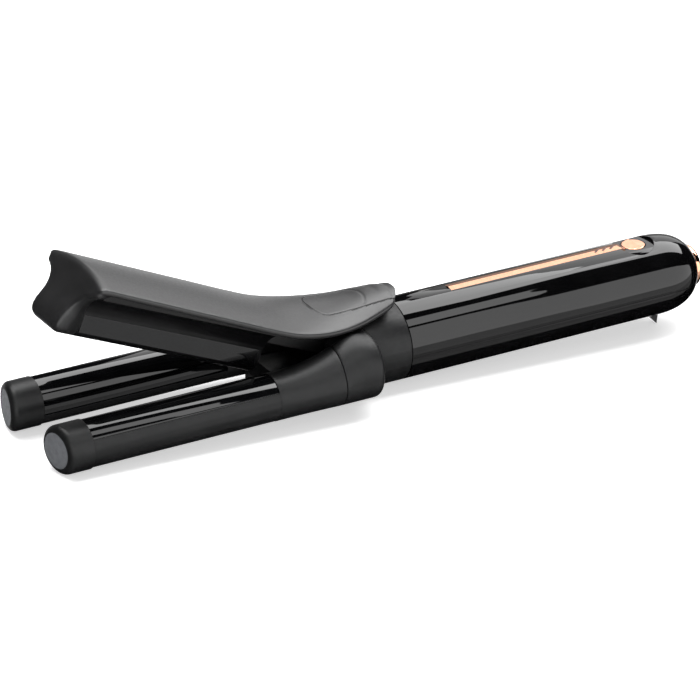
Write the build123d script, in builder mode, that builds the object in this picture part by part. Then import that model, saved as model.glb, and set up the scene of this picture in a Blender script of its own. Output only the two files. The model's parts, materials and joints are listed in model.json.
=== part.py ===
"""Two-barrel waving iron: a curling iron whose hinged jaw closes between two heated barrels.

Lengths are millimetres.  Everything fixed is drawn in the grip frame: x runs along the grip from the
barrels (negative) to the butt (positive), z is height above the grip's axis, and x = 0 is the seam
between the collar and the grip.  The grip frame is pitched up by rest_tilt, so that the iron stands on
its two cool tips and the fin under the butt.  Everything on the jaw is drawn in the jaw frame, whose
origin is the hinge pin and whose x runs from the jaw's tip (negative) to the end of the thumb lever.
"""

import os
from math import atan, cos, degrees, radians, sin

from build123d import *

os.makedirs("parts", exist_ok=True)

# ---- driving dimensions -------------------------------------------------------------------------
grip_r = 16.5
wall = 2.2
barrel_r = 9.4
barrel_y = 21.4            # half of the spacing of the two barrels
barrel_z = -0.4
hair_gap = 0.8             # between a barrel and the closed jaw
jaw_open = 23.5            # degrees from closed to where the jaw rests
slip = 0.06                # radial clearance of a shaft in its bearing
fit = 0.05                 # clearance of pieces that are fixed to each other

# stations along the grip
tip_x = -158.9             # middle of a cool tip's end disc
cap_x = -147.1             # seam between a cool tip and its barrel
plate_end_x = -67.0        # end of the glossy barrel plates
tongue_x = -60.0           # front of the tongue between the barrels
seam_x = -38.0             # seam between the barrel mouldings and the base housing
block_x = -20.0            # rear of the base housing
round_x = 121.5            # where the butt starts to round off
butt_x = 139.0             # flat end of the grip shells
ring_x = 141.8             # end of the ring round the cord inlet
dial_x = 113.1
fin_x = 124.7              # point of the fin under the butt
hinge_x = -30.0

# heights above the grip's axis
parting_z = -2.1           # joint between the two grip shells
hinge_z = 9.0
dial_seat_z = 15.4         # flat round the dial
block_top_z = 15.2
tongue_top_z = 0.8
tongue_base_z = -11.5
fin_z = -21.9

# cool tips
cap_r = 9.8
cap_round = 2.6
cap_slant = 11.0           # degrees that each end disc faces outwards

# grip
butt_round = 19.8
butt_full = 0.664          # how full the butt's curve is; a quarter ellipse is 0.552
butt_hole_r = 5.9
screw_xs = (24.0, 66.0, 100.0)
screw_r = 1.3
screw_head_r = 2.5
screw_head_t = 1.6
boss_r = 3.3
root_z = 15.0              # bosses are rooted inside the shell wall
board_z = -5.4
board_t = 1.6
board_x = (34.0, 130.0)
board_w = 19.0
strip_x = 25.6
strip_w = 5.4
strip_base_z = 15.4
strip_end_z = 15.55
dial_r = 4.9
dial_seat_r = 8.4
bezel_t = 2.1
stem_r = 3.0
shaft_r = 1.5
swivel_r = 5.2
cord_hole_r = 3.1

# barrels
barrel_wall = 2.2
plate_from = 32.0          # degrees above the outer side where the glossy plate starts
plate_arc = 165.0

# base
slot_w = 12.6              # half width of the slot that the jaw's knuckle turns in
block_w = 18.0
pin_r = 2.0
collar_bore_r = 11.5

# jaw
knuckle_r = 5.2
keel_w = 11.2
keel_base = -18.5
keel_x = (-118.4, -34.0)
jaw_plate_x = (-116.4, -35.5)
jaw_plate_v = (-15.9, -8.5)
jaw_plate_t = 1.3
edge_t = 2.2               # height of the cover's edge band
pad_depth = 0.8

rest_tilt = degrees(atan((barrel_z - cap_r - fin_z) / (fin_x - tip_x - cap_round)))
centre_x = 9.07             # puts the middle of the iron over the origin

# ---- frames -------------------------------------------------------------------------------------
tilt_sin, tilt_cos = sin(radians(rest_tilt)), cos(radians(rest_tilt))
open_sin, open_cos = sin(radians(jaw_open)), cos(radians(jaw_open))
axis_height = -fin_z * tilt_cos - fin_x * tilt_sin
grip = Plane(origin=(centre_x, 0, axis_height), x_dir=(tilt_cos, 0, tilt_sin), z_dir=(-tilt_sin, 0, tilt_cos))
jaw = Plane(grip.location * Plane(
    origin=(hinge_x, 0, hinge_z), x_dir=(open_cos, 0, -open_sin), z_dir=(open_sin, 0, open_cos)
).location)
grip_axis = Axis(grip.origin, grip.x_dir)


def across(x, frame=grip):
    """Section plane at x: local x is +Y and local y is up."""
    return Plane(frame.location * Plane.YZ.offset(x).location)


def along(y=0, frame=grip):
    """Upright lengthwise plane at y: local x runs along the frame and local y is up."""
    return Plane(frame.location * Plane.XZ.offset(-y).location)


def level(z, frame=grip):
    """Plane at height z: local x runs along the frame and local y is +Y."""
    return Plane(frame.location * Plane.XY.offset(z).location)


# ---- helpers that add to the current part ---------------------------------------------------------
def save(piece, name):
    """Label a finished piece and write it to its own file."""
    piece.part.label = name
    export_step(piece.part, f"parts/{name}.step")


def posts(points, radius, z0, z1, mode=Mode.ADD, frame=grip):
    """Upright round posts or holes from height z0 to z1."""
    with BuildSketch(level(z0, frame)) as ends:
        with Locations(*points):
            Circle(radius)
    extrude(ends.sketch, amount=z1 - z0, mode=mode)


def bar(x0, x1, radius, y=0.0, z=0.0, mode=Mode.ADD):
    """Round bar or bore along the grip from x0 to x1."""
    with BuildSketch(across(x0)) as end:
        with Locations((y, z)):
            Circle(radius)
    extrude(end.sketch, amount=x1 - x0, mode=mode)


def cross_bar(y0, y1, radius, mode=Mode.ADD, frame=jaw):
    """Round bar or bore across the iron, on the frame's own origin."""
    with BuildSketch(along(y1, frame)) as end:
        Circle(radius)
    extrude(end.sketch, amount=y1 - y0, mode=mode)


def block(x0, x1, y0, y1, z0, z1, mode=Mode.ADD, frame=grip):
    """Rectangular block or pocket between two corners."""
    with BuildSketch(level(z0, frame)) as base:
        with Locations(((x0 + x1) / 2, (y0 + y1) / 2)):
            Rectangle(x1 - x0, y1 - y0)
    extrude(base.sketch, amount=z1 - z0, mode=mode)


def side_prism(points, half_width, mode=Mode.ADD, frame=grip):
    """Outline in the lengthwise plane, extruded to both sides."""
    with BuildSketch(along(0, frame)) as outline:
        with BuildLine():
            Polyline(*points, close=True)
        make_face()
    extrude(outline.sketch, amount=half_width, both=True, mode=mode)


def revolve_about_grip(points):
    """Turned piece from its half outline."""
    with BuildSketch(along()) as outline:
        with BuildLine():
            Polyline(*points, close=True)
        make_face()
    revolve(outline.sketch, axis=grip_axis)


def screws(points, tip_z, head_z, frame=grip):
    """Identical cross-head screws: head at head_z, pointing to tip_z."""
    step = 1 if tip_z > head_z else -1
    posts(points, screw_r - fit, head_z, tip_z, frame=frame)
    posts(points, screw_head_r, head_z - step * screw_head_t, head_z, frame=frame)
    for length, width in ((2.8, 0.7), (0.7, 2.8)):
        with BuildSketch(level(head_z - step * screw_head_t, frame)) as cross:
            with Locations(*points):
                Rectangle(length, width)
        extrude(cross.sketch, amount=step * 0.9, mode=Mode.SUBTRACT)


# ---- grip -----------------------------------------------------------------------------------------
def grip_body(inset, mode):
    """The grip's outside, or its inside at the wall's depth: a cylinder with a rounded butt."""
    radius = grip_r - inset
    length = butt_round - inset
    with BuildSketch(along()) as outline:
        with BuildLine():
            Line((0, 0), (0, radius))
            Line((0, radius), (round_x, radius))
            Bezier((round_x, radius), (round_x + butt_full * length, radius),
                   (round_x + length, butt_full * radius), (round_x + length, 0))
            Line((round_x + length, 0), (0, 0))
        make_face()
    revolve(outline.sketch, axis=grip_axis, mode=mode)


def grip_shell(keep):
    """Cut the grip to one shell: open at the cord inlet, cut off flat, split at the parting line."""
    bar(butt_x - 12, butt_x + 20, butt_hole_r, mode=Mode.SUBTRACT)
    bar(butt_x, butt_x + 20, grip_r, mode=Mode.SUBTRACT)
    split(bisect_by=level(parting_z), keep=keep)


screw_points = [(x, 0) for x in screw_xs]
dial_point = [(dial_x, 0)]
bezel_z = dial_seat_z - bezel_t

with BuildPart() as handle_upper_shell:
    grip_body(0, Mode.ADD)
    grip_body(wall, Mode.SUBTRACT)
    posts(screw_points, boss_r, parting_z, root_z)
    posts(dial_point, dial_seat_r + 1.3, bezel_z - 1.4, bezel_z)
    posts(dial_point, dial_seat_r + fit, bezel_z, grip_r + 1, Mode.SUBTRACT)
    posts(dial_point, dial_r + 0.6, bezel_z - 5, grip_r, Mode.SUBTRACT)
    block(strip_x, dial_x, -strip_w / 2 - fit, strip_w / 2 + fit, strip_base_z, grip_r + 1, Mode.SUBTRACT)
    posts(screw_points, screw_r, parting_z - 1, parting_z + 8, Mode.SUBTRACT)
    grip_shell(Keep.TOP)
save(handle_upper_shell, "handle_upper_shell")

head_z = -11.0             # where the grip screws' heads bear
post_points = [(x, y) for x in (45.0, 86.0, 118.0) for y in (-7.0, 7.0)]

with BuildPart() as handle_lower_shell:
    grip_body(0, Mode.ADD)
    grip_body(wall, Mode.SUBTRACT)
    posts(screw_points, boss_r, -root_z, parting_z)
    posts(post_points, 1.8, -13.0, board_z - fit)
    side_prism(((119.4, -14.6), (119.4, -16.4), (fin_x, fin_z), (fin_x + 1.0, -14.6)), 1.6)
    posts(screw_points, screw_head_r + 0.2, -grip_r - 1, head_z, Mode.SUBTRACT)
    posts(screw_points, screw_r + 0.1, head_z, parting_z + 1, Mode.SUBTRACT)
    grip_shell(Keep.BOTTOM)
save(handle_lower_shell, "handle_lower_shell")

with BuildPart() as handle_screws:
    screws(screw_points, parting_z + 7, head_z)
save(handle_screws, "handle_screws")

# ---- accent strip, indicators and dial --------------------------------------------------------------
lens_points = [(dial_x - 13.7 + step, 0) for step in (-3.6, 0.0, 3.6)]
strip_edge_z = 16.25
strip_ridge_z = 16.75
ramp_x = dial_x - 7.8


def lens_bars(z0, z1, mode=Mode.ADD):
    """Three slanted bars across the strip."""
    with BuildSketch(level(z0)) as bars:
        with Locations(*lens_points):
            Rectangle(0.9, 4.2, rotation=-58)
    extrude(bars.sketch, amount=z1 - z0, mode=mode)


with BuildPart() as accent_strip:
    with BuildSketch(across(strip_x + fit)):
        with BuildLine():
            Polyline(
                (-strip_w / 2, strip_base_z + fit), (strip_w / 2, strip_base_z + fit),
                (strip_w / 2, strip_edge_z), (0, strip_ridge_z), (-strip_w / 2, strip_edge_z), close=True,
            )
        make_face()
    extrude(amount=dial_x - dial_r - 0.6 - strip_x)
    block(ramp_x, dial_x - dial_r - 0.6, -strip_w / 2, strip_w / 2, strip_end_z - 1.2, strip_base_z + 0.5)
    side_prism(((ramp_x, 18), (ramp_x, strip_edge_z + 0.4), (dial_x - dial_r, strip_end_z), (dial_x, 18)),
               strip_w, Mode.SUBTRACT)
    side_prism(((strip_x - 1, 15.6), (strip_x + 1.4, 18), (strip_x - 1, 18)), strip_w, Mode.SUBTRACT)
    lens_bars(strip_base_z + 0.5, 18, Mode.SUBTRACT)
save(accent_strip, "accent_strip")

with BuildPart() as indicator_lenses:
    lens_bars(strip_base_z + 0.5, strip_ridge_z + 0.03)
    with BuildSketch(across(strip_x)):
        Circle(grip_r + 0.12)
    extrude(amount=dial_x - strip_x, mode=Mode.INTERSECT)
save(indicator_lenses, "indicator_lenses")

with BuildPart() as dial_bezel:
    posts(dial_point, dial_seat_r, bezel_z + fit, dial_seat_z)
    bar(dial_x - 10, dial_x + 10, grip_r, mode=Mode.INTERSECT)
    posts(dial_point, dial_r + 0.25, dial_seat_z - 0.8, dial_seat_z + 1, Mode.SUBTRACT)
    posts(dial_point, stem_r + 0.3, bezel_z - 1, dial_seat_z, Mode.SUBTRACT)
    block(dial_x - dial_seat_r - 1, dial_x - dial_r, -strip_w / 2 - fit, strip_w / 2 + fit,
          strip_end_z - 1.2 - fit, dial_seat_z + 1, Mode.SUBTRACT)
save(dial_bezel, "dial_bezel")

with BuildPart() as dial_knob:
    posts(dial_point, dial_r, dial_seat_z - 0.65, 17.0)
    side_prism(((dial_x - 6, 18), (dial_x - 6, 15.0), (dial_x + 0.7, 16.05), (dial_x + 0.9, 15.65),
                (dial_x + 6, 15.65), (dial_x + 6, 18)), dial_r + 1, Mode.SUBTRACT)
    posts(dial_point, stem_r, 7.0, dial_seat_z - 0.5)
    posts(dial_point, shaft_r + 0.02, 6.0, 13.0, Mode.SUBTRACT)
save(dial_knob, "dial_knob")

control_z = 2.0            # top of the rotary control

with BuildPart() as dial_shaft:
    posts(dial_point, shaft_r, board_z + board_t + 1, 12.8)
save(dial_shaft, "dial_shaft")

with BuildPart() as rotary_control:
    block(dial_x - 5, dial_x + 5, -5, 5, board_z + board_t + fit, control_z)
    posts(dial_point, shaft_r + slip, board_z + board_t + 0.9, control_z + 1, Mode.SUBTRACT)
save(rotary_control, "rotary_control")

with BuildPart() as circuit_board:
    block(*board_x, -board_w / 2, board_w / 2, board_z, board_z + board_t)
    posts(screw_points, boss_r + 0.3, board_z - 1, board_z + board_t + 1, Mode.SUBTRACT)
save(circuit_board, "circuit_board")

with BuildPart() as power_capacitor:
    bar(40.0, 56.0, 3.9, z=board_z + board_t + 4.0)
save(power_capacitor, "power_capacitor")

with BuildPart() as heater_switch:
    block(78.0, 88.0, -2.2, 2.2, board_z + board_t + fit, 7.5)
save(heater_switch, "heater_switch")

# ---- cord inlet -------------------------------------------------------------------------------------
with BuildPart() as butt_ring:
    revolve_about_grip((
        (butt_x - 2.5, swivel_r + slip), (butt_x - 2.5, butt_hole_r - fit), (butt_x + fit, butt_hole_r - fit),
        (butt_x + fit, 9.1), (butt_x + 1.2, 9.1), (butt_x + 2.2, 8.6), (ring_x, 7.6), (ring_x, 6.4),
        (ring_x - 0.7, swivel_r + slip),
    ))
save(butt_ring, "butt_ring")

swivel_x0 = butt_x - 8.0
swivel_x1 = ring_x - 0.9

with BuildPart() as cord_swivel:
    bar(swivel_x0, swivel_x1, swivel_r)
    bar(swivel_x0, swivel_x0 + 2.6, 7.2)
    bar(swivel_x0 - 1, swivel_x1 + 1, cord_hole_r, mode=Mode.SUBTRACT)
save(cord_swivel, "cord_swivel")

# ---- collar -----------------------------------------------------------------------------------------
collar_flat_z = -15.7      # keeps the collar off the table

with BuildPart() as neck_collar:
    bar(block_x + fit, -0.2, grip_r)
    bar(-0.2, 6.0, grip_r - wall - fit)
    bar(block_x - 4, block_x + fit, 13.0)
    bar(block_x - 5, 7.0, collar_bore_r, mode=Mode.SUBTRACT)
    block(block_x - 5, -0.1, -grip_r, grip_r, -grip_r - 2, collar_flat_z, Mode.SUBTRACT)
save(neck_collar, "neck_collar")


# ---- base housing -----------------------------------------------------------------------------------
def mix(low, high, share):
    """Point between two points."""
    return tuple(a + (b - a) * share for a, b in zip(low, high))


def arm_section(x, side, swell, top_z, shrink=0.0):
    """Section of an arm: the barrel's circle at swell 0, a high rounded shoulder at swell 1."""
    r = barrel_r + 0.4 * swell - shrink
    diag = r * sin(radians(45))
    bottom = (barrel_y, barrel_z - r)
    outer = (barrel_y + r, barrel_z)
    shoulder = mix((barrel_y + diag, barrel_z + diag), (27.9 - shrink, top_z - 5.2), swell)
    top = mix((barrel_y, barrel_z + r), (block_w, top_z - shrink), swell)
    inner_top = mix((barrel_y - diag, barrel_z + diag), (slot_w + 1.0, top_z - 3.5), swell)
    inner = mix((barrel_y - r, barrel_z), (slot_w - 0.4, 2.0), swell)
    low_inner = mix((barrel_y - diag, barrel_z - diag), (13.6, -7.0), swell)
    low_outer = (barrel_y + diag, barrel_z - diag)
    arcs = ((bottom, low_outer, outer), (outer, shoulder, top), (top, inner_top, inner),
            (inner, low_inner, bottom))
    with BuildSketch(across(x)) as section:
        with BuildLine():
            for arc in arcs:
                ThreePointArc(*[(side * y, z) for y, z in arc])
        make_face()
    return section.sketch


pin_point = Plane(grip.location * Location((hinge_x, 0, hinge_z)))

with BuildPart() as base_housing:
    for side in (-1, 1):
        loft([
            arm_section(seam_x + 0.2, side, 1.0, 13.0),
            arm_section(-33.0, side, 1.0, block_top_z),
            arm_section(-23.5, side, 1.0, block_top_z),
        ])
        loft([
            arm_section(-23.5, side, 1.0, block_top_z),
            arm_section(-21.2, side, 1.0, block_top_z, 0.9),
            arm_section(block_x, side, 1.0, block_top_z, 2.8),
        ])
    side_prism(((seam_x + 0.2, tongue_base_z), (seam_x + 0.2, 12.6), (-34.0, 14.6), (-32.5, 15.05),
                (-22.6, 15.05), (-20.8, 14.2), (block_x, 12.4), (block_x, tongue_base_z)), block_w)
    side_prism(((tongue_x, -4.0), (tongue_x, -8.5), (tongue_x + 3, tongue_base_z),
                (seam_x + 1, tongue_base_z), (seam_x + 1, tongue_top_z), (tongue_x + 3, tongue_top_z)), 11.3)
    block(seam_x - 1, -23.8, -slot_w, slot_w, tongue_top_z, block_top_z + 1, Mode.SUBTRACT)
    cross_bar(-20.1, 20.1, pin_r + 0.02, Mode.SUBTRACT, pin_point)
    bar(block_x - 4.1, block_x + 1, 13.0 + fit, mode=Mode.SUBTRACT)
    block(-37.0, block_x - 4, -24.0, 24.0, -7.0, -2.0, Mode.SUBTRACT)
    posts([(-52.0, 0), (-30.0, 0)], screw_r, tongue_base_z - 1, -4.0, Mode.SUBTRACT)
save(base_housing, "base_housing")

cover_z = -13.4
base_head_z = -11.9

with BuildPart() as base_bottom_cover:
    block(tongue_x + 3.4, block_x - 5.0, -11.2, 11.2, cover_z, tongue_base_z - fit)
    chamfer(edges().group_by(Axis(grip.origin, grip.z_dir))[0], 0.8)
    posts([(-52.0, 0), (-30.0, 0)], screw_head_r + 0.2, cover_z - 1, base_head_z, Mode.SUBTRACT)
    posts([(-52.0, 0), (-30.0, 0)], screw_r + 0.1, cover_z - 1, -11.0, Mode.SUBTRACT)
save(base_bottom_cover, "base_bottom_cover")

with BuildPart() as base_screws:
    screws([(-52.0, 0), (-30.0, 0)], -4.3, base_head_z)
save(base_screws, "base_screws")

with BuildPart() as hinge_pin:
    cross_bar(-20.0, 20.0, pin_r, frame=pin_point)
    chamfer(edges(), 0.3)
save(hinge_pin, "hinge_pin")


# ---- barrels ----------------------------------------------------------------------------------------
def sector(start, size, r_in, r_out, side):
    """Part of a ring round a barrel, its angles counted from the outer side upwards."""
    turned = start if side > 0 else 180 - start - size
    centre = (side * barrel_y, barrel_z)
    with BuildLine() as outline:
        outer = CenterArc(centre, r_out, turned, size)
        inner = CenterArc(centre, r_in, turned, size)
        Line(outer @ 0, inner @ 0)
        Line(outer @ 1, inner @ 1)
    make_face(outline.edges())


seam_arc = 0.7             # degrees of gap along each lengthwise seam
# x station, swell and top of each arm; it starts as a collar just larger than the barrel
arm_stations = ((plate_end_x, 0.0, 9.0, -0.12), (-52.0, 0.42, 10.6, 0.0), (seam_x - 0.2, 1.0, 13.0, 0.0))

for side, hand in ((-1, "left"), (1, "right")):
    y = side * barrel_y
    inner_r = barrel_r - barrel_wall

    with BuildPart() as barrel_plate:
        with BuildSketch(across(cap_x + 0.1)):
            sector(plate_from + seam_arc, plate_arc - 2 * seam_arc, inner_r, barrel_r, side)
        extrude(amount=plate_end_x - cap_x - 0.3)
    save(barrel_plate, f"{hand}_barrel_plate")

    with BuildPart() as barrel_shield:
        with BuildSketch(across(cap_x + 0.1)):
            sector(plate_from + plate_arc, 360 - plate_arc, inner_r, barrel_r, side)
        extrude(amount=plate_end_x - cap_x)
        loft([arm_section(x, side, swell, top_z, shrink) for x, swell, top_z, shrink in arm_stations])
        bar(plate_end_x - 1, seam_x - 6, inner_r - 0.3, y, barrel_z, Mode.SUBTRACT)
        bar(seam_x - 7, seam_x + 1, 3.0, y, barrel_z - 4.0, Mode.SUBTRACT)
    save(barrel_shield, f"{hand}_barrel_shield")

    with BuildPart() as barrel_heater:
        block(cap_x + 8, plate_end_x - 6, y - 5.2, y + 5.2, barrel_z + 0.6, barrel_z + 4.4)
    save(barrel_heater, f"{hand}_barrel_heater")

    end_plane = Plane(grip.location * Plane(
        origin=(tip_x, y, barrel_z), x_dir=(0, 0, 1),
        z_dir=(-cos(radians(cap_slant)), side * sin(radians(cap_slant)), 0),
    ).location)
    with BuildPart() as tip_cap:
        bar(cap_x - 0.1, tip_x - 5, cap_r, y, barrel_z)
        split(bisect_by=end_plane, keep=Keep.BOTTOM)
        fillet(faces().sort_by(grip_axis)[0].edges(), cap_round)
        with BuildSketch(end_plane.offset(-0.8)):
            Circle(cap_r - cap_round)
        extrude(amount=2, mode=Mode.SUBTRACT)
        bar(cap_x - 1, cap_x + 5, inner_r - fit, y, barrel_z)
        bar(cap_x - 7, cap_x + 6, inner_r - 1.6, y, barrel_z, Mode.SUBTRACT)
    save(tip_cap, f"{hand}_tip_cap")

    with BuildPart() as tip_disc:
        with BuildSketch(end_plane.offset(-0.75)):
            Circle(cap_r - cap_round - fit)
        extrude(amount=0.7)
    save(tip_disc, f"{hand}_tip_disc")

# ---- jaw --------------------------------------------------------------------------------------------
# x station, half width, height of the cover's edge and rise of its crown
straight_stations = tuple((x, 21.9, 5.3 - 0.0225 * (x + 117), 2.9) for x in range(-117, -37, 10))
lever_stations = straight_stations + (
    (-37.0, 21.8, 3.5, 2.9), (-27.0, 21.4, 3.7, 3.2), (-17.0, 20.5, 5.2, 3.7), (-7.0, 19.0, 7.9, 4.3),
    (3.0, 16.3, 11.8, 4.7), (12.0, 13.0, 16.7, 4.4), (18.0, 10.2, 20.3, 3.2), (21.8, 6.0, 22.4, 1.6),
)


def cover_section(x, w, edge_v, crown, drop=0.0):
    """Crowned section of the jaw's cover with a flat underside; drop lowers its top."""
    low, high = edge_v - edge_t, edge_v - drop
    with BuildSketch(across(x, jaw)) as section:
        with BuildLine():
            Line((0.6 - w, low), (w - 0.6, low))
            ThreePointArc((w - 0.6, low), (w, (low + high) / 2), (w - 0.4, high))
            ThreePointArc((w - 0.4, high), (0, high + crown), (0.4 - w, high))
            ThreePointArc((0.4 - w, high), (-w, (low + high) / 2), (0.6 - w, low))
        make_face()
    return section.sketch


def cover_loft(drop=0.0):
    """The jaw's cover from its tip to the end of the thumb lever."""
    loft([cover_section(*station, drop) for station in lever_stations])


def pad_prism(inset, mode):
    """Plan outline of the thumb pad, as tall as the lever."""
    half_front, half_rear = 9.5 - inset, 7.4 - inset
    with BuildSketch(level(0, jaw)) as outline:
        with BuildLine():
            Line((-8.5, half_front), (30.0, half_rear))
            Line((30.0, half_rear), (30.0, -half_rear))
            Line((30.0, -half_rear), (-8.5, -half_front))
            ThreePointArc((-8.5, -half_front), (-13.5 + inset, 0), (-8.5, half_front))
        make_face()
    extrude(outline.sketch, amount=40, mode=mode)


channel_r = barrel_r + hair_gap
channel_v = barrel_z - hinge_z            # height of the barrels' axes in the closed jaw's frame
keel_round = 4.2


def flank(side, top_v):
    """One side of the jaw's section: wing, channel round the barrel, keel side and lower corner."""
    wing = (side * (barrel_y - 0.8), channel_v + channel_r - 0.04)
    waist = (side * keel_w, channel_v)
    mid = (side * (barrel_y - channel_r * sin(radians(45))), channel_v + channel_r * sin(radians(45)))
    corner = (side * (keel_w - 0.3), keel_base + keel_round)
    turn = keel_round * (1 - sin(radians(45)))
    Line((side * (barrel_y - 0.8), top_v), wing)
    ThreePointArc(wing, mid, waist)
    Line(waist, corner)
    ThreePointArc(corner, (side * (keel_w - 0.3 - turn), keel_base + turn),
                  (side * (keel_w - 0.3 - keel_round), keel_base))


with BuildPart() as jaw_nose:
    with BuildSketch(across(-117.0, jaw)):
        with BuildLine():
            for side in (-1, 1):
                flank(side, 4.0)
            Line((-keel_w + 0.3 + keel_round, keel_base), (keel_w - 0.3 - keel_round, keel_base))
            Line((barrel_y - 0.8, 4.0), (0.8 - barrel_y, 4.0))
        make_face()
    extrude(amount=-16)
    extrude(cover_section(*lever_stations[0]), amount=-16)
    with BuildSketch(along(0, jaw)):
        with BuildLine():
            Line((-110.0, 9.4), (-118.8, 9.4))
            Spline((-118.8, 9.4), (-122.4, -3.0), (-126.6, -12.0), tangents=((-0.25, -1), (-0.35, -1)))
            Spline((-126.6, -12.0), (-126.9, -15.6), (-123.0, keel_base - 0.2),
                   tangents=((-0.35, -1), (1, -0.25)))
            Line((-123.0, keel_base - 0.2), (-110.0, keel_base - 0.2))
            Line((-110.0, keel_base - 0.2), (-110.0, 9.4))
        make_face()
    extrude(amount=30, both=True, mode=Mode.INTERSECT)

with BuildPart() as lever_core:
    cover_loft(pad_depth)


def pad_solid(inset):
    """The lever's top layer inside the thumb pad's outline."""
    with BuildPart() as layer:
        cover_loft()
        pad_prism(inset, Mode.INTERSECT)
        add(lever_core.part, mode=Mode.SUBTRACT)
    return layer.solids().sort_by(SortBy.VOLUME)[-1]


with BuildPart() as thumb_pad:
    add(pad_solid(0.2))
save(thumb_pad, "thumb_pad")

jaw_screw_points = [(-114.0, 0), (-24.0, -7.5), (-24.0, 7.5)]
jaw_head_v = -3.2

with BuildPart() as jaw_cover:
    cover_loft()
    add(jaw_nose.part)
    add(pad_solid(0), mode=Mode.SUBTRACT)
    posts(jaw_screw_points, screw_r, 0, 5.1, Mode.SUBTRACT, jaw)
save(jaw_cover, "jaw_cover")

spring_w = 5.2             # half width of the recess for the spring

with BuildPart() as jaw_keel:
    with BuildSketch(across(keel_x[0], jaw)):
        with BuildLine():
            for side in (-1, 1):
                flank(side, 3.4)
            Line((-keel_w + 0.3 + keel_round, keel_base), (keel_w - 0.3 - keel_round, keel_base))
            Line((barrel_y - 0.8, 3.4), (0.8 - barrel_y, 3.4))
        make_face()
    extrude(amount=keel_x[1] - keel_x[0])
    side_prism(((-36, -5), (-36, 2.6), (-22, 3.6), (-8, 6.6), (-1, 8.4), (3.4, 4), (0, -5.1)), keel_w,
               frame=jaw)
    cross_bar(0.3 - slot_w, slot_w - 0.3, knuckle_r)
    cross_bar(-slot_w - 1, slot_w + 1, pin_r + slip, Mode.SUBTRACT)
    block(-5.0, 7.0, -spring_w, spring_w, -7, 5.0, Mode.SUBTRACT, jaw)
    block(-11.0, 0.0, -spring_w, spring_w, -7, -2.4, Mode.SUBTRACT, jaw)
    block(-110.6, -40.0, -8.2, 8.2, -16.2, -7.5, Mode.SUBTRACT, jaw)
    for side in (-1, 1):
        block(jaw_plate_x[0], jaw_plate_x[1], side * 11.5 - 1.6, side * 11.5 + 1.6, *jaw_plate_v,
              Mode.SUBTRACT, jaw)
    add(jaw_cover.part, mode=Mode.SUBTRACT)
    posts(jaw_screw_points, screw_head_r + 0.2, keel_base - 1, jaw_head_v, Mode.SUBTRACT, jaw)
    posts(jaw_screw_points, screw_r + 0.1, jaw_head_v - 1, 5.0, Mode.SUBTRACT, jaw)
save(jaw_keel, "jaw_keel")

for side, hand in ((-1, "left"), (1, "right")):
    with BuildPart() as jaw_plate:
        block(jaw_plate_x[0] + fit, jaw_plate_x[1] - fit, side * 10.6 - 0.65, side * 10.6 + 0.65,
              jaw_plate_v[0] + fit, jaw_plate_v[1] - fit, frame=jaw)
    save(jaw_plate, f"{hand}_jaw_plate")

with BuildPart() as jaw_heater:
    block(-110.0, -41.0, -8.0, 8.0, -15.0, -9.0, frame=jaw)
save(jaw_heater, "jaw_heater")

with BuildPart() as jaw_screws:
    screws(jaw_screw_points, 5.0, jaw_head_v, jaw)
save(jaw_screws, "jaw_screws")

wire_r = 0.5
coil_r = 3.1

with BuildPart() as torsion_spring:
    with BuildLine() as coil:
        Helix(1.25, 8.8, coil_r, center=jaw.from_local_coords((0, 4.4, 0)), direction=(0, -1, 0))
    with BuildSketch(Plane(origin=coil.line @ 0, z_dir=coil.line % 0)):
        Circle(wire_r)
    sweep(path=coil.line, is_frenet=True)
save(torsion_spring, "torsion_spring")
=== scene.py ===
"""Two-barrel waving iron: materials, detailed pieces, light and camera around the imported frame."""

import json
from math import atan, cos, pi, radians, sin

import bmesh
import bpy
from mathutils import Matrix, Vector


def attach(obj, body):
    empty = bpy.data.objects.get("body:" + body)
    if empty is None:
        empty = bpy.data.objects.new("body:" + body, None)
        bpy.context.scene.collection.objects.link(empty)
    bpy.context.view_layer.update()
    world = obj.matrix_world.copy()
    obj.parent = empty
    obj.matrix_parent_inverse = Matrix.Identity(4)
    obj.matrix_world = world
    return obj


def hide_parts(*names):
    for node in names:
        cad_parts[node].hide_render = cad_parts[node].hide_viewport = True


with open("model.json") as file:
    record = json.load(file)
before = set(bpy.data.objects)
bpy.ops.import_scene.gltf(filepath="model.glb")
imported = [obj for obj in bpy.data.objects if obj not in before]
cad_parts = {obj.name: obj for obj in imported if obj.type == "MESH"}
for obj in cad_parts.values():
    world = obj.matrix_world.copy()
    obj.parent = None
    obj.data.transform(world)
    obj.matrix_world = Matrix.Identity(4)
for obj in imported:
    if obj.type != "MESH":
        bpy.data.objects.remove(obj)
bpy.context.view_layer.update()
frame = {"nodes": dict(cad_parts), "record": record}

# ---- the object's own frames, in millimetres -------------------------------------------------------
# The grip frame lies on the grip's axis, x towards the butt, pitched up so that the iron stands on its
# cool tips and the fin.  The jaw frame has its origin on the hinge pin and u along the jaw, v above it.
CENTRE_X = 9.07
FIN_X, FIN_Z = 124.7, -21.9
BARREL_Z, CAP_R, CAP_ROUND, TIP_X = -0.4, 9.8, 2.6, -158.9
TILT = atan((BARREL_Z - CAP_R - FIN_Z) / (FIN_X - TIP_X - CAP_ROUND))
AXIS_HEIGHT = -FIN_Z * cos(TILT) - FIN_X * sin(TILT)

METRES = Matrix.Scale(0.001, 4)
GRIP = METRES @ Matrix.Translation((CENTRE_X, 0, AXIS_HEIGHT)) @ Matrix.Rotation(-TILT, 4, "Y")
HINGE_X, HINGE_Z, JAW_OPEN = -30.0, 9.0, radians(23.5)
JAW = GRIP @ Matrix.Translation((HINGE_X, 0, HINGE_Z)) @ Matrix.Rotation(JAW_OPEN, 4, "Y")


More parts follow.
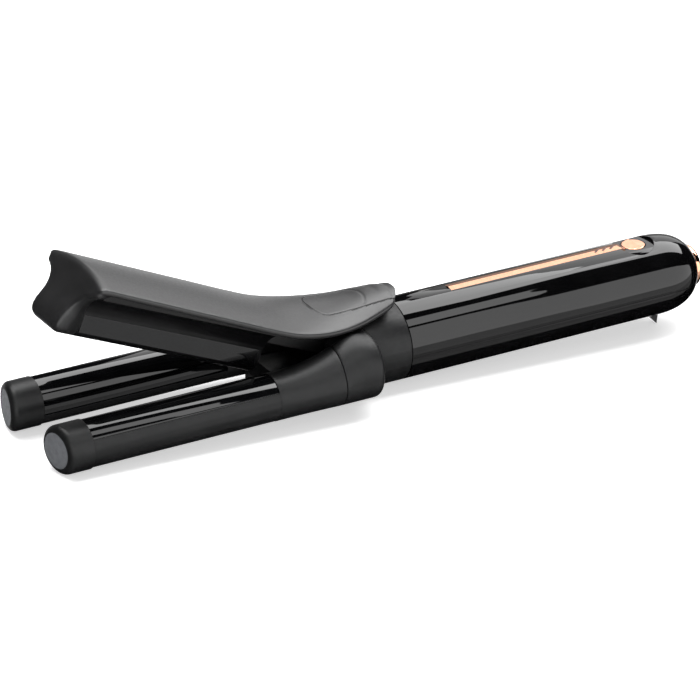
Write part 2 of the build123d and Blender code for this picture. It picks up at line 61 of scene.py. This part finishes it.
# ---- materials ----------------------------------------------------------------------------------------
class Shader:
    """A node material that is built up one detail at a time."""

    def __init__(self, name, **sockets):
        self.material = bpy.data.materials.new(name)
        self.material.use_nodes = True
        self.nodes = self.material.node_tree.nodes
        self.links = self.material.node_tree.links
        self.principled = self.nodes["Principled BSDF"]
        self.height = None
        for socket, value in sockets.items():
            self.principled.inputs[socket.replace("_", " ")].default_value = value
        self.place = self.nodes.new("ShaderNodeTexCoord").outputs["Object"]

    def noise(self, scale, detail=3.0, stretch=(1, 1, 1)):
        """Noise whose grains are 1/scale metres across, longer where stretch is below 1."""
        mapping = self.nodes.new("ShaderNodeMapping")
        mapping.inputs["Scale"].default_value = stretch
        noise = self.nodes.new("ShaderNodeTexNoise")
        noise.inputs["Scale"].default_value = scale
        noise.inputs["Detail"].default_value = detail
        self.links.new(self.place, mapping.inputs["Vector"])
        self.links.new(mapping.outputs["Vector"], noise.inputs["Vector"])
        return noise.outputs["Fac"]

    def spread(self, value, low, high, start=0.35, end=0.65):
        """The range start..end of a value spread over low..high."""
        ranged = self.nodes.new("ShaderNodeMapRange")
        ranged.inputs["From Min"].default_value = start
        ranged.inputs["From Max"].default_value = end
        ranged.inputs["To Min"].default_value = low
        ranged.inputs["To Max"].default_value = high
        self.links.new(value, ranged.inputs["Value"])
        return ranged.outputs["Result"]

    def colours(self, value, low, high, start=0.35, end=0.65):
        """Base colour between two colours."""
        ramp = self.nodes.new("ShaderNodeValToRGB")
        ramp.color_ramp.elements[0].position = start
        ramp.color_ramp.elements[1].position = end
        ramp.color_ramp.elements[0].color = (*low, 1)
        ramp.color_ramp.elements[1].color = (*high, 1)
        self.links.new(value, ramp.inputs["Fac"])
        self.links.new(ramp.outputs["Color"], self.principled.inputs["Base Color"])

    def roughness(self, value, low, high, start=0.35, end=0.65):
        """Roughness between two values."""
        self.links.new(self.spread(value, low, high, start, end), self.principled.inputs["Roughness"])

    def bump(self, value, depth, strength=1.0):
        """Relief of depth metres, on top of any relief added before it."""
        bump = self.nodes.new("ShaderNodeBump")
        bump.inputs["Strength"].default_value = strength
        bump.inputs["Distance"].default_value = depth
        self.links.new(value, bump.inputs["Height"])
        if self.height:
            self.links.new(self.height, bump.inputs["Normal"])
        self.height = bump.outputs["Normal"]
        self.links.new(self.height, self.principled.inputs["Normal"])


def gloss_plastic():
    s = Shader("gloss_black_plastic", IOR=1.5)
    s.colours(s.noise(90), (0.0018, 0.0018, 0.002), (0.003, 0.003, 0.0032))
    s.roughness(s.noise(700, 5), 0.025, 0.055)
    s.bump(s.noise(110, 2), 0.00003, 0.08)
    return s.material


def matte_plastic(name, low, high, rough_low, rough_high, specular):
    s = Shader(name, IOR=1.47, Specular_IOR_Level=specular)
    s.colours(s.noise(150), low, high)
    s.roughness(s.noise(900, 4), rough_low, rough_high)
    s.bump(s.noise(3800, 2), 0.00003, 0.35)
    return s.material


def rose_gold():
    s = Shader("rose_gold_metal", Metallic=1.0)
    s.colours(s.noise(400), (0.88, 0.46, 0.30), (0.94, 0.51, 0.34))
    s.roughness(s.noise(2200, 3, (0.06, 1, 1)), 0.06, 0.11)
    s.bump(s.noise(2600, 2, (0.05, 1, 1)), 0.00001, 0.12)
    return s.material


def heated_plate():
    s = Shader("ceramic_plate", IOR=1.52)
    s.colours(s.noise(120), (0.0022, 0.0023, 0.0026), (0.0036, 0.0037, 0.0042))
    s.roughness(s.noise(800, 4, (0.2, 1, 1)), 0.03, 0.06)
    s.bump(s.noise(140, 2, (0.3, 1, 1)), 0.00002, 0.05)
    return s.material


def tip_grey():
    s = Shader("tip_grey_plastic", IOR=1.46)
    s.colours(s.noise(500), (0.10, 0.105, 0.115), (0.125, 0.13, 0.14))
    s.roughness(s.noise(1200, 3), 0.42, 0.56)
    s.bump(s.noise(4500, 2), 0.00003, 0.3)
    return s.material


def plain_inside(name, colour, metallic, rough):
    s = Shader(name, Metallic=metallic)
    s.colours(s.noise(600), tuple(0.85 * c for c in colour), colour)
    s.roughness(s.noise(1500, 3), rough, rough + 0.15)
    s.bump(s.noise(3000, 2), 0.00002, 0.3)
    return s.material


MATERIALS = {
    "gloss_black": gloss_plastic(),
    "matte_black": matte_plastic(
        "soft_matte_plastic", (0.0075, 0.0078, 0.0082), (0.0105, 0.0108, 0.0112), 0.36, 0.44, 0.3),
    # Satin copy of the black plastic for the jaw cover and thumb pad. Its sheen is the finish, and its
    # lighter base colour is painted light from the overhead softbox on the iron's top.
    "satin_black": matte_plastic(
        "satin_plastic_painted_light", (0.013, 0.013, 0.0136), (0.017, 0.017, 0.0176), 0.32, 0.38, 0.62),
    # Darker copy of the black plastic for the keel under the jaw cover: its low base colour is painted
    # shade.
    "keel_painted_shade_black": matte_plastic(
        "keel_painted_shade_plastic", (0.003, 0.003, 0.0033), (0.0045, 0.0045, 0.005), 0.3, 0.38, 0.3),
    "rose_gold": rose_gold(),
    "heated_plate": heated_plate(),
    "tip_grey": tip_grey(),
    "lens": plain_inside("indicator_lens", (0.09, 0.03, 0.02), 0.0, 0.2),
    "steel": plain_inside("bare_steel", (0.56, 0.57, 0.58), 1.0, 0.25),
    "ceramic": plain_inside("white_ceramic", (0.75, 0.73, 0.68), 0.0, 0.5),
    "board": plain_inside("board_laminate", (0.02, 0.12, 0.05), 0.0, 0.4),
    "component": plain_inside("component_case", (0.03, 0.03, 0.035), 0.0, 0.4),
}

# CAD nodes whose edges are rounded, with the radius in millimetres
SOFT_EDGES = {
    "base_housing": 0.5, "jaw_keel": 0.35, "neck_collar": 0.35, "left_barrel_shield": 0.15,
    "right_barrel_shield": 0.15, "left_jaw_plate": 0.15, "right_jaw_plate": 0.15, "base_bottom_cover": 0.2,
    "dial_bezel": 0.1, "left_barrel_plate": 0.12, "right_barrel_plate": 0.12,
    "handle_upper_shell": 0.15, "handle_lower_shell": 0.15, "butt_ring": 0.12,
}

slots = {part["node"]: part["material_slot"] for part in frame["record"]["subparts"]}
for node, obj in frame["nodes"].items():
    for material_slot in obj.material_slots:
        # The keel takes the darker copy, whose colour is painted shade from the cover above it.
        material_slot.material = MATERIALS["keel_painted_shade_black" if node == "jaw_keel" else slots[node]]
    if node in SOFT_EDGES:
        weld = obj.modifiers.new("weld", "WELD")
        weld.merge_threshold = 2e-6
        bevel = obj.modifiers.new("soft_edges", "BEVEL")
        bevel.width = SOFT_EDGES[node] * 0.001
        bevel.segments = 2
        bevel.angle_limit = radians(35)
        bevel.use_clamp_overlap = True
        bevel.harden_normals = True


# ---- mesh helpers -------------------------------------------------------------------------------------
def smooth_table(stations, u):
    """Smooth values between stations of (u, value, value, ...)."""
    rows = [stations[0], *stations, stations[-1]]
    for i in range(1, len(rows) - 2):
        if u <= rows[i + 1][0] or i == len(rows) - 3:
            break
    before, low, high, after = rows[i - 1:i + 3]
    span = high[0] - low[0]
    t = min(max((u - low[0]) / span, 0.0), 1.0)
    values = []
    for a, b, c, d in zip(before[1:], low[1:], high[1:], after[1:]):
        slope_low = (c - a) * span / max(high[0] - before[0], 1e-6)
        slope_high = (d - b) * span / max(after[0] - low[0], 1e-6)
        values.append(
            (2 * t**3 - 3 * t**2 + 1) * b + (t**3 - 2 * t**2 + t) * slope_low
            + (3 * t**2 - 2 * t**3) * c + (t**3 - t**2) * slope_high
        )
    return values


def piece(name, vertices, faces, frame_matrix, material, body, replaced, slot):
    """A smooth-shaded closed mesh, given in millimetres of one of the object's frames."""
    mesh = bpy.data.meshes.new(name)
    mesh.from_pydata([frame_matrix @ Vector(v) for v in vertices], [], faces)
    work = bmesh.new()
    work.from_mesh(mesh)
    bmesh.ops.remove_doubles(work, verts=work.verts, dist=1e-6)
    bmesh.ops.dissolve_degenerate(work, edges=work.edges, dist=1e-7)
    bmesh.ops.recalc_face_normals(work, faces=work.faces)
    work.to_mesh(mesh)
    work.free()
    mesh.polygons.foreach_set("use_smooth", [True] * len(mesh.polygons))
    mesh.materials.append(MATERIALS[material])
    obj = bpy.data.objects.new(name, mesh)
    bpy.context.scene.collection.objects.link(obj)
    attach(obj, body)
    if replaced:
        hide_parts(*replaced)
    return obj


def rings(sections, closed_ends=(True, True)):
    """Vertices and faces of a skin over equally long closed sections."""
    count = len(sections[0])
    vertices = [v for section in sections for v in section]
    faces = []
    for row in range(len(sections) - 1):
        for k in range(count):
            a, b = row * count + k, row * count + (k + 1) % count
            faces.append((a, b, b + count, a + count))
    if closed_ends[0]:
        faces.append(tuple(range(count)))
    if closed_ends[1]:
        faces.append(tuple(range(len(vertices) - count, len(vertices))))
    return vertices, faces


# ---- jaw ----------------------------------------------------------------------------------------------
NOSE_U = -115.0                  # where the cover joins the nose block
KEEL_U = -117.05                 # back of the nose block under the cover
LEVER = (                        # u, half width, height of the edge, rise of the crown
    (-117.0, 21.9, 5.3, 2.9), (-97.0, 21.9, 4.85, 2.9), (-77.0, 21.9, 4.4, 2.9), (-57.0, 21.9, 3.95, 2.9),
    (-37.0, 21.8, 3.5, 2.9), (-27.0, 21.4, 3.7, 3.2), (-17.0, 20.5, 5.2, 3.7), (-7.0, 19.0, 7.9, 4.3),
    (3.0, 16.3, 11.8, 4.7), (12.0, 13.0, 16.7, 4.4), (18.0, 10.2, 20.3, 3.2), (21.8, 6.0, 22.4, 1.6),
)
EDGE_T = 2.2
END_U, END_SPAN = 21.8, 7.6      # the lever's end and the length over which it rounds off
CROWN_STEPS = 40


def lever_shape(u):
    """Half width, height of the edge and rise of the crown at u."""
    w, edge, crown = smooth_table(LEVER, u)
    closing = (u - (END_U - END_SPAN)) / END_SPAN
    if closing > 0:
        w0, _, crown0 = smooth_table(LEVER, END_U - END_SPAN)
        narrow = max(1 - closing**2, 0.0) ** 0.5
        w, crown = min(w, w0 * narrow), crown0 * narrow
    return max(w, 0.02), edge, crown


def crown_height(shape, y):
    """Height of the cover's top at y, where it has the given lever_shape."""
    w, edge, crown = shape
    share = min(abs(y) / w, 1.0)
    return edge + crown * (1 - share**2)


def top_outline(u):
    """The cover's top from one edge over the crown to the other, as (y, v), rounded at the edges."""
    shape = lever_shape(u)
    w, edge, _ = shape
    lip = min(0.8, 0.45 * w)
    points = [(side_y, edge - lip + lip * height) for side_y, height in (
        (-w, 0.0), (-w + 0.08 * lip, 0.38), (-w + 0.3 * lip, 0.72))]
    inner = w - 0.62 * lip
    crown = [(-inner + 2 * inner * k / CROWN_STEPS) for k in range(CROWN_STEPS + 1)]
    points += [(y, crown_height(shape, y) - 0.1 * lip * (abs(y) / inner) ** 8) for y in crown]
    return points + [(-y, v) for y, v in reversed(points[:3])]


def end_stations():
    """Stations from the nose to the lever's end, closer together where the lever bends and ends."""
    stations = [NOSE_U + 5.0 * k for k in range(16)]
    stations += [-38.5 + 1.5 * k for k in range(35)]
    stations += [END_U - END_SPAN * (1 - sin(radians(90 * k / 14))) for k in range(15)]
    return stations


def nose_side():
    """One side of the nose from the cover's edge band down to the keel's flat, as (y, v)."""
    radius, axis_y, axis_v = 10.2, 21.4, -9.4
    points = [(21.15, 2.4), (20.9, 1.8), (20.5, 1.2), (20.0, 0.82)]
    for k in range(1, 17):
        angle = radians(101 + 79 * k / 16)
        points.append((axis_y + radius * cos(angle), axis_v + radius * sin(angle)))
    points += [(11.1, -11.9), (10.9, -14.3)]
    for k in range(1, 9):
        angle = radians(90 * k / 8)
        points.append((6.7 + 4.2 * cos(angle), -14.3 - 4.2 * sin(angle)))
    return points


NOSE_PROFILE = (                 # v, u down the middle of the nose's front
    (-18.5, -124.9), (-17.6, -125.9), (-16.0, -126.6), (-14.0, -126.75), (-12.0, -126.4), (-9.0, -125.1),
    (-6.0, -123.6), (-3.0, -122.3), (0.0, -121.2), (3.0, -120.2), (6.0, -119.3), (9.0, -118.5),
)
NOSE_ROUND = 1.9                 # radius between the front and the sides
NOSE_MIDDLE = -3.0               # height that the front's rings close in on
NOSE_SHARES = (1.0, 0.985, 0.96, 0.93, 0.88, 0.8, 0.7, 0.56, 0.42, 0.28, 0.14, 0.02)


def closest_on_segment(y, v, a, b):
    """The point of a segment nearest to (y, v)."""
    along = Vector((b[0] - a[0], b[1] - a[1]))
    t = max(0.0, min(1.0, ((y - a[0]) * along.x + (v - a[1]) * along.y) / max(along.length_squared, 1e-9)))
    return Vector((a[0] + t * along.x, a[1] + t * along.y))


def nose_front(y, v, outline):
    """The nose's front at (y, v): its lengthwise profile, rounded off towards the outline."""
    profile = smooth_table(NOSE_PROFILE, v)[0]
    nearest = min(
        (Vector((y, v)) - foot).length
        for foot in (closest_on_segment(y, v, a, b) for a, b in zip(outline, outline[1:] + outline[:1]))
    )
    depth = min(nearest, NOSE_ROUND)
    return profile + NOSE_ROUND - (NOSE_ROUND**2 - (NOSE_ROUND - depth) ** 2) ** 0.5


def edge_band(u):
    """The lower half of the cover's edge band on the +Y side, as (y, v)."""
    w, edge, _ = lever_shape(u)
    low, lip = edge - EDGE_T, min(0.6, 0.45 * w)
    return [(w - 0.02 * lip, low + 0.9), (w - 0.25 * lip, low + 0.35), (w - lip, low)]


def cover_ring(u):
    """Closed section of the cover: top outline, edge bands and flat underside."""
    band = edge_band(u)
    inner, low = band[-1]
    flat = [(inner * (1 - 2 * k / 12), low) for k in range(1, 12)]
    ring = top_outline(u) + band + flat + [(-y, v) for y, v in reversed(band)]
    return [(u, y, v) for y, v in ring]


def jaw_shell():
    """The cover from nose to lever end, with the nose block under its front."""
    vertices, faces = rings([cover_ring(u) for u in end_stations()], (False, True))
    upper = top_outline(NOSE_U) + edge_band(NOSE_U)
    side = nose_side()
    lower = side + [(-y, v) for y, v in reversed(side)]
    outline = upper + lower + [(-y, v) for y, v in reversed(edge_band(NOSE_U))]
    backs = [KEEL_U if point in lower else NOSE_U for point in outline]
    layers = [[(u, y, v) for u, (y, v) in zip(backs, outline)]]
    for share in NOSE_SHARES:
        layers.append([])
        for y, v in outline:
            y, v = y * share, NOSE_MIDDLE + (v - NOSE_MIDDLE) * share
            layers[-1].append((nose_front(y, v, outline), y, v))
    nose_vertices, nose_faces = rings(layers, (False, True))
    start = len(vertices)
    faces += [tuple(k + start for k in face) for face in nose_faces]
    under_cover = cover_ring(NOSE_U)[len(upper):-3]
    wall = [(KEEL_U, y, v) for y, v in lower]
    seam = [(NOSE_U, *outline[len(upper) - 1])] + wall + [(NOSE_U, *outline[-3])] + under_cover[::-1]
    vertices += nose_vertices + seam
    faces.append(tuple(range(len(vertices) - len(seam), len(vertices))))
    return vertices, faces


PAD_FRONT, PAD_SHOULDER = -13.5, -8.5    # the pad's rounded front end
PAD_HALF_W, PAD_TAPER = 9.5, 2.1         # half width at the shoulder, and what it loses over the rest
PAD_SPAN = 38.5
PAD_STEPS = 36
PAD_LEVEL_U = END_U - 2.5                # beyond this the pad keeps its section and only rises


def pad_half_width(u):
    """Half width of the thumb pad's outline at u."""
    if u < PAD_SHOULDER:
        reach = (PAD_SHOULDER - u) / (PAD_SHOULDER - PAD_FRONT)
        return PAD_HALF_W * max(1 - reach**2, 0.0) ** 0.5
    return PAD_HALF_W - PAD_TAPER * (u - PAD_SHOULDER) / PAD_SPAN


def pad_block(inset, over, depth, end_u, relief=None):
    """Block inside the pad's outline, from depth below the cover's top to over above it."""
    front = PAD_FRONT + inset
    stations = [front + (PAD_SHOULDER - front) * (1 - cos(radians(90 * k / 12))) for k in range(12)]
    stations += [PAD_SHOULDER + (end_u - PAD_SHOULDER) * k / 60 for k in range(61)]
    sections = []
    for u in stations:
        half = max(pad_half_width(u - inset if u < PAD_SHOULDER else u) - inset, 0.03)
        if relief:
            half = min(half, lever_shape(u)[0] - 0.7)
        shape = lever_shape(min(u, PAD_LEVEL_U))
        rise = 0.0 if u <= PAD_LEVEL_U else lever_shape(u)[1] - shape[1]
        columns = [half * sin(radians(90 * (2 * k / PAD_STEPS - 1))) for k in range(PAD_STEPS + 1)]
        tops = [(y, crown_height(shape, y) + rise) for y in columns]
        upper = [(u, y, v + over + (relief(u, y, half) if relief else 0.0)) for y, v in tops]
        lower = [(u, y, v - depth) for y, v in reversed(tops)]
        sections.append(upper + lower)
    return rings(sections)


def pad_relief(u, y, half):
    """Rounded rim and the groove across the pad."""
    rim = min(half - abs(y), u - PAD_FRONT - 0.2)
    rounding = -0.18 * max(0.0, 1 - rim / 0.5) ** 2
    groove_u = 8.6 - 0.035 * y * y
    groove = -0.3 * max(0.0, 1 - abs(u - groove_u) / 0.45) if abs(y) < half - 0.8 else 0.0
    return rounding + groove


# The cover and pad take the satin copy, whose lighter base colour is painted light.
cover = piece("jaw_cover_skin", *jaw_shell(), JAW, "satin_black", "jaw", ["jaw_cover"], "matte_black")
cutter = piece("pad_cutter", *pad_block(0.0, 3.0, 0.8, 30.0), JAW, "matte_black", "jaw", [], "matte_black")
pocket = cover.modifiers.new("pocket", "BOOLEAN")
pocket.operation, pocket.solver, pocket.object = "DIFFERENCE", "EXACT", cutter
graph = bpy.context.evaluated_depsgraph_get()
carved = bpy.data.meshes.new_from_object(cover.evaluated_get(graph))
cover.modifiers.clear()
cover.data = carved
bpy.data.objects.remove(cutter)
piece("thumb_pad_skin", *pad_block(0.2, 0.0, 0.75, 21.4, pad_relief), JAW, "satin_black", "jaw",
      ["thumb_pad"], "matte_black")


# ---- dial ---------------------------------------------------------------------------------------------
DIAL_X, DIAL_R = 113.1, 4.88
SKIRT_Z, RIM_Z, FACE_Z = 14.75, 15.55, 15.62
CREST_X, CREST_Z = 0.7, 16.05            # ridge across the dial, with a facet before it and a step behind
FACET_SLOPE, STEP_SLOPE = 0.157, 3.0
RIM_W, EDGE_W = 0.42, 0.15


def knob_height(x, radius):
    """Height of the dial's top: a raised facet up to a crest across it, a turned face behind, and a rim."""
    if x < CREST_X:
        height = CREST_Z - (CREST_X - x) * FACET_SLOPE
    else:
        height = max(FACE_Z, CREST_Z - (x - CREST_X) * STEP_SLOPE)
        if height == FACE_Z:
            height += 0.012 * sin(radius * 9.0)
    rim_share = min(max((radius - (DIAL_R - RIM_W)) / 0.2, 0.0), 1.0)
    height = height * (1 - rim_share) + RIM_Z * rim_share
    return height - max(0.0, radius - (DIAL_R - EDGE_W))


def knob_skin():
    """The dial's knob as rings from its skirt to its middle."""
    radii = [DIAL_R - 0.05 * k for k in range(15)] + [4.1 - 0.1 * k for k in range(40)] + [0.05]
    angles = [radians(360 * k / 120) for k in range(120)]
    layers = [[(DIAL_X + DIAL_R * cos(a), DIAL_R * sin(a), SKIRT_Z) for a in angles]]
    for radius in radii:
        layers.append([(DIAL_X + radius * cos(a), radius * sin(a), knob_height(radius * cos(a), radius))
                       for a in angles])
    return rings(layers)


piece("dial_knob_skin", *knob_skin(), GRIP, "rose_gold", "dial", ["dial_knob"], "rose_gold")


# ---- studio --------------------------------------------------------------------------------------------
scene = bpy.context.scene
scene.view_settings.view_transform = "Standard"


def stage_material(name, colour):
    """Pale matte surface that glows a little, so that it stays pale away from the lights."""
    s = Shader(name, Roughness=1.0)
    s.principled.inputs["Specular IOR Level"].default_value = 0.0
    s.principled.inputs["Emission Color"].default_value = (1, 1, 1, 1)
    s.principled.inputs["Emission Strength"].default_value = 0.55
    s.colours(s.noise(3), tuple(0.99 * c for c in colour), colour)
    return s.material


floor_mesh = bpy.data.meshes.new("floor")
floor_mesh.from_pydata([(-15, -15, 0), (15, -15, 0), (15, 15, 0), (-15, 15, 0)], [], [(0, 1, 2, 3)])
floor_mesh.materials.append(stage_material("pale_floor", (0.86, 0.86, 0.86)))
floor = bpy.data.objects.new("floor", floor_mesh)
scene.collection.objects.link(floor)
floor.visible_glossy = False

world = bpy.data.worlds.new("studio")
scene.world = world
world.use_nodes = True
world.node_tree.nodes["Background"].inputs["Color"].default_value = (1, 1, 1, 1)
world.node_tree.nodes["Background"].inputs["Strength"].default_value = 0.4
world.cycles_visibility.glossy = False


def softbox(name, place, size, aim, radiance, diffuse=True):
    """Rectangular light of a given radiance, seen in reflections but not by the camera."""
    data = bpy.data.lights.new(name, "AREA")
    data.shape = "RECTANGLE"
    data.size, data.size_y = size
    data.energy = radiance * pi * size[0] * size[1]
    light = bpy.data.objects.new(name, data)
    light.location = place
    light.rotation_euler = aim
    light.visible_camera = False
    light.visible_diffuse = diffuse
    scene.collection.objects.link(light)


# The cards stand upright before and behind the iron and give the bands on its glossy sides.
softbox("overhead", (0.7, 0.3575, 1.3), (2.8, 1.085), (0, 0, 0), 5.7)
softbox("barrel_card", (-0.125, -0.201, 0.287), (0.55, 0.105), (radians(35), 0, 0), 2.7, diffuse=False)
REAR_Y, FRONT_Y = 1.6, -0.6
for name, left, right, y, low, high, radiance in (
    ("rear_card", 0.76, 2.8, REAR_Y, 0.5, 2.3, 1.5),
    ("rear_mid_card", -0.4, 2.8, REAR_Y, 0.0, 0.5, 0.3),
    ("rear_low_card", -0.4, 2.8, REAR_Y, -1.4, -0.02, 1.1),
    ("front_card", -1.1, 2.3, FRONT_Y, -0.15, 0.46, 2.0),
    ("front_low_card", -1.1, 2.3, FRONT_Y, -0.42, -0.15, 0.8),
    ("front_base_card", -1.1, 2.3, FRONT_Y, -1.05, -0.42, 0.45),
):
    place = ((left + right) / 2, y, (low + high) / 2)
    facing = radians(-90 if y > 0 else 90)
    softbox(name, place, (right - left, high - low), (facing, 0, 0), radiance, diffuse=False)

# ---- camera --------------------------------------------------------------------------------------------
# Placed in the grip frame: where it stands in millimetres, and the way it looks.
CAMERA_PLACE = (-826.9, -1401.4, 769.7)
AZIMUTH, ELEVATION = radians(-29.96), radians(25.46)
right = Vector((cos(AZIMUTH), sin(AZIMUTH), 0))
back = Vector((sin(AZIMUTH) * cos(ELEVATION), -cos(AZIMUTH) * cos(ELEVATION), sin(ELEVATION)))
turn = Matrix((right, back.cross(right), back)).transposed()
view = GRIP @ Matrix.Translation(CAMERA_PLACE) @ turn.to_4x4()
camera = bpy.data.objects.new("camera", bpy.data.cameras.new("camera"))
camera.data.sensor_width = 36.0
camera.data.lens = 234.4
camera.data.clip_start, camera.data.clip_end = 0.05, 50.0
camera.matrix_world = Matrix.LocRotScale(view.to_translation(), view.to_quaternion(), None)
scene.collection.objects.link(camera)
scene.camera = camera
